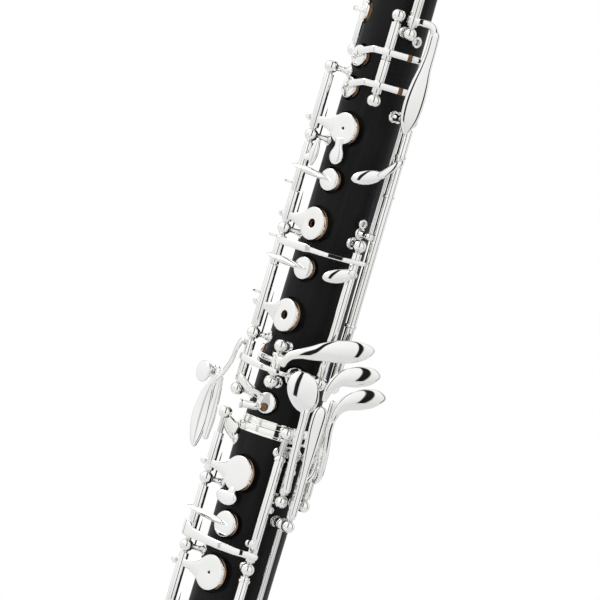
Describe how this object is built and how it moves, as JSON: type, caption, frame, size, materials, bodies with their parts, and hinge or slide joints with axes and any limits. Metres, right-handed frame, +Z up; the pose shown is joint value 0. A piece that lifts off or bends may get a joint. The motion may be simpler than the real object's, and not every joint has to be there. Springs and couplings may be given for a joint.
{
  "type": "oboe",
  "caption": "Full-length oboe in three wooden sections with plated keys, hinge rods, posts, pads and springs, and a reed well at the top.",
  "frame": {"origin": "centre of the bell's rim plane, on the bore's axis", "axes": "+Z up the bore towards the reed, -Y the finger side, +X the left little finger's side"},
  "size_m": [0.056, 0.056, 0.602],
  "materials": {
    "grenadilla": "oiled matte black",
    "silver_key": "polished silver plate",
    "silver_post": "polished silver plate",
    "silver_ring": "polished silver plate",
    "steel_rod": "ground steel",
    "blued_steel": "blued spring steel",
    "cork_pad": "waxed cork",
    "skin_pad": "fish skin over felt",
    "cork": "waxed cork"
  },
  "bodies": {
    "body": {"bell": "grenadilla", "hinge_rods": "steel_rod", "lower_joint": "grenadilla", "needle_springs": "blued_steel", "posts_bell": "silver_post", "posts_lower": "silver_post", "posts_upper": "silver_post", "ring_bell_socket": "silver_ring", "ring_lower_joint": "silver_ring", "ring_upper_joint": "silver_ring", "tenon_corks": "cork", "thumb_rest": "silver_post", "upper_joint": "grenadilla"},
    "key_half_hole": {"key_half_hole": "silver_key", "pad_half_hole": "cork_pad"},
    "key_upper_vent": {"key_upper_vent": "silver_key", "pad_upper_vent": "cork_pad"},
    "key_lh_second": {"key_lh_second": "silver_key", "pad_lh_second": "cork_pad"},
    "key_cross_lever": {"key_cross_lever": "silver_key", "pad_cross_lever": "cork_pad"},
    "key_lh_third": {"key_lh_third": "silver_key", "pad_lh_third": "cork_pad"},
    "key_side_trill": {"key_side_trill": "silver_key", "pad_side_trill": "cork_pad"},
    "key_trill_upper": {"key_trill_upper": "silver_key", "pad_trill_upper": "cork_pad"},
    "key_trill_lower": {"key_trill_lower": "silver_key", "pad_trill_lower": "cork_pad"},
    "key_side_octave": {"key_side_octave": "silver_key", "pad_side_octave": "cork_pad"},
    "key_thumb_octave": {"key_thumb_octave": "silver_key", "pad_thumb_octave": "cork_pad"},
    "key_touch_upper_trill": {"key_touch_upper_trill": "silver_key"},
    "key_touch_lower_trill": {"key_touch_lower_trill": "silver_key"},
    "key_g_sharp": {"key_g_sharp": "silver_key", "pad_g_sharp": "cork_pad"},
    "key_rh_first": {"key_rh_first": "silver_key", "pad_rh_first": "skin_pad"},
    "key_fork": {"key_fork": "silver_key", "pad_fork": "skin_pad"},
    "key_rh_second": {"key_rh_second": "silver_key", "pad_rh_second": "skin_pad"},
    "key_rh_third": {"key_rh_third": "silver_key", "pad_rh_third": "skin_pad"},
    "key_front_link": {"key_front_link": "silver_key"},
    "key_touch_round": {"key_touch_round": "silver_key"},
    "key_touch_long": {"key_touch_long": "silver_key"},
    "key_touch_upper_leaf": {"key_touch_upper_leaf": "silver_key"},
    "key_touch_lower_leaf": {"key_touch_lower_leaf": "silver_key"},
    "key_low_b": {"key_low_b": "silver_key", "pad_low_b": "skin_pad"},
    "key_low_c": {"key_low_c": "silver_key", "pad_low_c": "skin_pad"},
    "key_low_c_sharp": {"key_low_c_sharp": "silver_key", "pad_low_c_sharp": "skin_pad"},
    "key_low_e_flat": {"key_low_e_flat": "silver_key", "pad_low_e_flat": "skin_pad"},
    "key_bell": {"key_bell": "silver_key", "pad_bell": "skin_pad"}
  },
  "joints": [
    {"name": "half_hole_hinge", "type": "hinge", "parent": "body", "child": "key_half_hole", "pos_m": [-0.01004, -0.01434, 0.48], "axis": [0, 0, 1], "range_deg": [0, 8], "stiffness_Nm_per_rad": 0.02, "springref_deg": -17.19},
    {"name": "upper_vent_hinge", "type": "hinge", "parent": "body", "child": "key_upper_vent", "pos_m": [-0.01004, -0.01434, 0.458], "axis": [0, 0, 1], "range_deg": [0, 6], "stiffness_Nm_per_rad": 0.02, "springref_deg": -17.19},
    {"name": "lh_second_hinge", "type": "hinge", "parent": "body", "child": "key_lh_second", "pos_m": [-0.01004, -0.01434, 0.444], "axis": [0, 0, 1], "range_deg": [0, 8], "stiffness_Nm_per_rad": 0.02, "springref_deg": -17.19},
    {"name": "cross_lever_hinge", "type": "hinge", "parent": "body", "child": "key_cross_lever", "pos_m": [-0.01004, -0.01434, 0.429], "axis": [0, 0, 1], "range_deg": [0, 4], "stiffness_Nm_per_rad": 0.02, "springref_deg": -17.19},
    {"name": "lh_third_hinge", "type": "hinge", "parent": "body", "child": "key_lh_third", "pos_m": [-0.01004, -0.01434, 0.414], "axis": [0, 0, 1], "range_deg": [0, 8], "stiffness_Nm_per_rad": 0.02, "springref_deg": -17.19},
    {"name": "side_trill_hinge", "type": "hinge", "parent": "body", "child": "key_side_trill", "pos_m": [-0.01004, -0.01434, 0.391], "axis": [0, 0, 1], "range_deg": [-5, 0], "stiffness_Nm_per_rad": 0.02, "springref_deg": 17.19},
    {"name": "trill_upper_hinge", "type": "hinge", "parent": "body", "child": "key_trill_upper", "pos_m": [0.00963, -0.01278, 0.506], "axis": [0, 0, 1], "range_deg": [0, 5], "stiffness_Nm_per_rad": 0.02, "springref_deg": -17.19},
    {"name": "trill_lower_hinge", "type": "hinge", "parent": "body", "child": "key_trill_lower", "pos_m": [0.00963, -0.01278, 0.493], "axis": [0, 0, 1], "range_deg": [0, 5], "stiffness_Nm_per_rad": 0.02, "springref_deg": -17.19},
    {"name": "side_octave_hinge", "type": "hinge", "parent": "body", "child": "key_side_octave", "pos_m": [0.01319, -0.00906, 0.528], "axis": [0, 0, 1], "range_deg": [0, 5], "stiffness_Nm_per_rad": 0.02, "springref_deg": -17.19},
    {"name": "thumb_octave_hinge", "type": "hinge", "parent": "body", "child": "key_thumb_octave", "pos_m": [-0.01541, 0.00162, 0.509], "axis": [0, 0, 1], "range_deg": [-5, 0], "stiffness_Nm_per_rad": 0.02, "springref_deg": 17.19},
    {"name": "touch_upper_trill_hinge", "type": "hinge", "parent": "body", "child": "key_touch_upper_trill", "pos_m": [0.01649, 0.00058, 0.436], "axis": [0, 0, 1], "range_deg": [-5, 0], "stiffness_Nm_per_rad": 0.02, "springref_deg": 17.19},
    {"name": "touch_lower_trill_hinge", "type": "hinge", "parent": "body", "child": "key_touch_lower_trill", "pos_m": [0.01545, -0.00578, 0.414], "axis": [0, 0, 1], "range_deg": [-5, 0], "stiffness_Nm_per_rad": 0.02, "springref_deg": 17.19},
    {"name": "g_sharp_hinge", "type": "hinge", "parent": "body", "child": "key_g_sharp", "pos_m": [0.00426, -0.01646, 0.394], "axis": [0, 0, 1], "range_deg": [0, 5], "stiffness_Nm_per_rad": 0.02, "springref_deg": -17.19},
    {"name": "rh_first_hinge", "type": "hinge", "parent": "body", "child": "key_rh_first", "pos_m": [-0.01117, -0.01537, 0.36], "axis": [0, 0, 1], "range_deg": [0, 7], "stiffness_Nm_per_rad": 0.02, "springref_deg": -17.19},
    {"name": "fork_hinge", "type": "hinge", "parent": "body", "child": "key_fork", "pos_m": [-0.01117, -0.01537, 0.339], "axis": [0, 0, 1], "range_deg": [0, 5], "stiffness_Nm_per_rad": 0.02, "springref_deg": -17.19},
    {"name": "rh_second_hinge", "type": "hinge", "parent": "body", "child": "key_rh_second", "pos_m": [-0.01117, -0.01537, 0.313], "axis": [0, 0, 1], "range_deg": [0, 7], "stiffness_Nm_per_rad": 0.02, "springref_deg": -17.19},
    {"name": "rh_third_hinge", "type": "hinge", "parent": "body", "child": "key_rh_third", "pos_m": [-0.01117, -0.01537, 0.281], "axis": [0, 0, 1], "range_deg": [0, 7], "stiffness_Nm_per_rad": 0.02, "springref_deg": -17.19},
    {"name": "front_link_hinge", "type": "hinge", "parent": "body", "child": "key_front_link", "pos_m": [0.01348, -0.01193, 0.348], "axis": [0, 0, 1], "range_deg": [-3.5, 0], "stiffness_Nm_per_rad": 0.02, "springref_deg": 17.19},
    {"name": "touch_round_hinge", "type": "hinge", "parent": "body", "child": "key_touch_round", "pos_m": [0.01625, -0.00864, 0.358], "axis": [0, 0, 1], "range_deg": [-5, 0], "stiffness_Nm_per_rad": 0.02, "springref_deg": 17.19},
    {"name": "touch_long_hinge", "type": "hinge", "parent": "body", "child": "key_touch_long", "pos_m": [0.01961, -0.00562, 0.35], "axis": [0, 0, 1], "range_deg": [-3, 0], "stiffness_Nm_per_rad": 0.02, "springref_deg": 17.19},
    {"name": "touch_upper_leaf_hinge", "type": "hinge", "parent": "body", "child": "key_touch_upper_leaf", "pos_m": [0.01961, -0.00562, 0.359], "axis": [0, 0, 1], "range_deg": [0, 4], "stiffness_Nm_per_rad": 0.02, "springref_deg": -17.19},
    {"name": "touch_lower_leaf_hinge", "type": "hinge", "parent": "body", "child": "key_touch_lower_leaf", "pos_m": [0.0175, 0.00184, 0.358], "axis": [0, 0, 1], "range_deg": [0, 4], "stiffness_Nm_per_rad": 0.02, "springref_deg": -17.19},
    {"name": "low_b_hinge", "type": "hinge", "parent": "body", "child": "key_low_b", "pos_m": [0.01596, -0.00458, 0.204], "axis": [0, 0, 1], "range_deg": [-6, 0], "stiffness_Nm_per_rad": 0.02, "springref_deg": 17.19},
    {"name": "low_c_hinge", "type": "hinge", "parent": "body", "child": "key_low_c", "pos_m": [0.00901, -0.01695, 0.23], "axis": [0, 0, 1], "range_deg": [-7, 0], "stiffness_Nm_per_rad": 0.02, "springref_deg": 17.19},
    {"name": "low_c_sharp_hinge", "type": "hinge", "parent": "body", "child": "key_low_c_sharp", "pos_m": [0.00901, -0.01695, 0.199], "axis": [0, 0, 1], "range_deg": [0, 6], "stiffness_Nm_per_rad": 0.02, "springref_deg": -17.19},
    {"name": "low_e_flat_hinge", "type": "hinge", "parent": "body", "child": "key_low_e_flat", "pos_m": [0.01348, -0.01193, 0.278], "axis": [0, 0, 1], "range_deg": [0, 5], "stiffness_Nm_per_rad": 0.02, "springref_deg": -17.19},
    {"name": "bell_hinge", "type": "hinge", "parent": "body", "child": "key_bell", "pos_m": [0.01688, -0.01182, 0.098], "axis": [0, 0, 1], "range_deg": [-6, 0], "stiffness_Nm_per_rad": 0.02, "springref_deg": 17.19}
  ],
  "couplings": [
    {"joint": "upper_vent_hinge", "follows": "lh_second_hinge", "ratio": 0.75},
    {"joint": "cross_lever_hinge", "follows": "lh_third_hinge", "ratio": 0.5},
    {"joint": "fork_hinge", "follows": "rh_second_hinge", "ratio": 0.7142},
    {"joint": "front_link_hinge", "follows": "rh_second_hinge", "ratio": -0.5},
    {"joint": "trill_upper_hinge", "follows": "touch_upper_trill_hinge", "ratio": -1},
    {"joint": "trill_lower_hinge", "follows": "touch_lower_trill_hinge", "ratio": -1},
    {"joint": "low_b_hinge", "follows": "touch_long_hinge", "ratio": 2},
    {"joint": "bell_hinge", "follows": "touch_lower_leaf_hinge", "ratio": -1.5},
    {"joint": "low_e_flat_hinge", "follows": "touch_upper_leaf_hinge", "ratio": 1.25}
  ]
}
